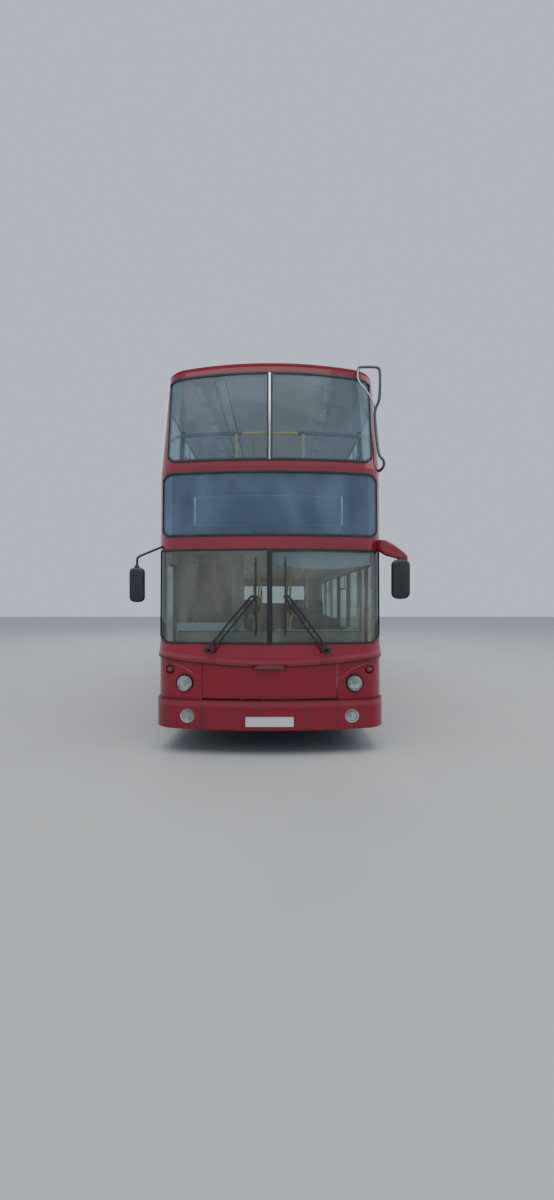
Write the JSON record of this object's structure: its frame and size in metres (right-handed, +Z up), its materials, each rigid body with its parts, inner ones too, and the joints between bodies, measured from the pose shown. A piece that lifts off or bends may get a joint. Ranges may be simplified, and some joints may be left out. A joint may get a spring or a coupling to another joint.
{
  "type": "double-deck bus",
  "caption": "Red low-floor double-deck bus with folding entrance door, opening panels, seated hollow decks, steering front wheels and twin rear wheels.",
  "frame": {"origin": "on the ground, midway along the length and on the centre plane", "axes": "+X towards the kerb side with the entrance door (the bus's left), -Y forwards, +Z up"},
  "size_m": [3.08, 9.9, 4.3699],
  "materials": {
    "red_paint": "gloss",
    "interior_panel": "satin",
    "floor_covering": "matte",
    "glass": "polished",
    "black_rubber": "matte",
    "grey_plastic": "satin",
    "black_plastic": "satin",
    "seat_fabric": "woven",
    "yellow_rail": "gloss",
    "chrome": "polished",
    "lamp_glass": "clear",
    "red_lens": "clear",
    "plate_white": "satin",
    "chassis_black": "satin",
    "engine_grey": "rough",
    "wheel_paint": "satin",
    "tyre": "matte",
    "steel": "machined"
  },
  "bodies": {
    "body": {"bumpers": "red_paint", "cab_partition": "grey_plastic", "chassis": "chassis_black", "dashboard": "grey_plastic", "door_header": "grey_plastic", "driver_seat": "seat_fabric", "engine": "engine_grey", "front_axle": "chassis_black", "front_cowl": "interior_panel", "front_glass": "glass", "front_lamps": "lamp_glass", "front_panel": "red_paint", "handrails": "yellow_rail", "lower_floor": "floor_covering", "lower_sides": "red_paint", "mirrors": "black_plastic", "number_plates": "plate_white", "rear_axle": "chassis_black", "rear_glass": "glass", "rear_lamps": "red_lens", "rear_wall": "red_paint", "roof": "red_paint", "screen_dividers": "black_rubber", "seats": "seat_fabric", "side_glass": "glass", "skirts": "red_paint", "staircase": "interior_panel", "steering_wheel": "black_plastic", "tree_guard": "chrome", "upper_floor": "floor_covering", "upper_front": "red_paint", "upper_sides": "red_paint", "wipers": "black_plastic"},
    "front_flap": {"front_flap": "red_paint"},
    "engine_cover": {"engine_cover": "red_paint"},
    "emergency_door": {"emergency_door": "red_paint", "exit_glass": "glass"},
    "cab_door": {"cab_door": "grey_plastic"},
    "door_arm_front": {"door_arm_front": "steel"},
    "door_leaf_front": {"door_leaf_front": "red_paint", "door_glass_front": "glass"},
    "door_arm_rear": {"door_arm_rear": "steel"},
    "door_leaf_rear": {"door_leaf_rear": "red_paint", "door_glass_rear": "glass"},
    "knuckle_left": {"knuckle_left": "steel"},
    "knuckle_right": {"knuckle_right": "steel"},
    "wheel_front_left": {"wheel_front_left": "wheel_paint", "tyre_front_left": "tyre"},
    "wheel_front_right": {"wheel_front_right": "wheel_paint", "tyre_front_right": "tyre"},
    "wheel_rear_left": {"wheel_rear_left": "wheel_paint", "tyres_rear_left": "tyre"},
    "wheel_rear_right": {"wheel_rear_right": "wheel_paint", "tyres_rear_right": "tyre"}
  },
  "joints": [
    {"name": "flap_open", "type": "hinge", "parent": "body", "child": "front_flap", "pos_m": [0, -4.912, 0.955], "axis": [-1, 0, 0], "range_deg": [0, 80]},
    {"name": "engine_cover_open", "type": "hinge", "parent": "body", "child": "engine_cover", "pos_m": [0, 4.94, 1.47], "axis": [1, 0, 0], "range_deg": [0, 80]},
    {"name": "exit_open", "type": "hinge", "parent": "body", "child": "emergency_door", "pos_m": [-1.268, 0.952, 1.78], "axis": [0, 0, 1], "range_deg": [0, 95]},
    {"name": "cab_door_open", "type": "hinge", "parent": "body", "child": "cab_door", "pos_m": [-0.316, -3.671, 0.89], "axis": [0, 0, 1], "range_deg": [0, 80]},
    {"name": "door_front_arm", "type": "hinge", "parent": "body", "child": "door_arm_front", "pos_m": [1.214, -4.42, 1.3], "axis": [0, 0, 1], "range_deg": [0, 84]},
    {"name": "door_front_leaf", "type": "hinge", "parent": "door_arm_front", "child": "door_leaf_front", "pos_m": [1.214, -4.133, 1.3], "axis": [0, 0, 1], "range_deg": [-168, 0]},
    {"name": "door_rear_arm", "type": "hinge", "parent": "body", "child": "door_arm_rear", "pos_m": [1.214, -3.18, 1.3], "axis": [0, 0, -1], "range_deg": [0, 84]},
    {"name": "door_rear_leaf", "type": "hinge", "parent": "door_arm_rear", "child": "door_leaf_rear", "pos_m": [1.214, -3.467, 1.3], "axis": [0, 0, -1], "range_deg": [-168, 0]},
    {"name": "steer_left", "type": "hinge", "parent": "body", "child": "knuckle_left", "pos_m": [0.896, -2.42, 0.4785], "axis": [0, 0, 1], "range_deg": [-40, 40]},
    {"name": "steer_right", "type": "hinge", "parent": "body", "child": "knuckle_right", "pos_m": [-0.896, -2.42, 0.4785], "axis": [0, 0, 1], "range_deg": [-40, 40]},
    {"name": "roll_front_left", "type": "hinge", "parent": "knuckle_left", "child": "wheel_front_left", "pos_m": [1.05, -2.42, 0.4785], "axis": [1, 0, 0], "continuous": true},
    {"name": "roll_front_right", "type": "hinge", "parent": "knuckle_right", "child": "wheel_front_right", "pos_m": [-1.05, -2.42, 0.4785], "axis": [1, 0, 0], "continuous": true},
    {"name": "roll_rear_left", "type": "hinge", "parent": "body", "child": "wheel_rear_left", "pos_m": [0.936, 2.83, 0.4785], "axis": [1, 0, 0], "continuous": true},
    {"name": "roll_rear_right", "type": "hinge", "parent": "body", "child": "wheel_rear_right", "pos_m": [-0.936, 2.83, 0.4785], "axis": [1, 0, 0], "continuous": true}
  ],
  "couplings": [
    {"joint": "door_front_leaf", "follows": "door_front_arm", "ratio": -2},
    {"joint": "door_rear_leaf", "follows": "door_rear_arm", "ratio": -2},
    {"joint": "steer_right", "follows": "steer_left", "ratio": 1}
  ]
}
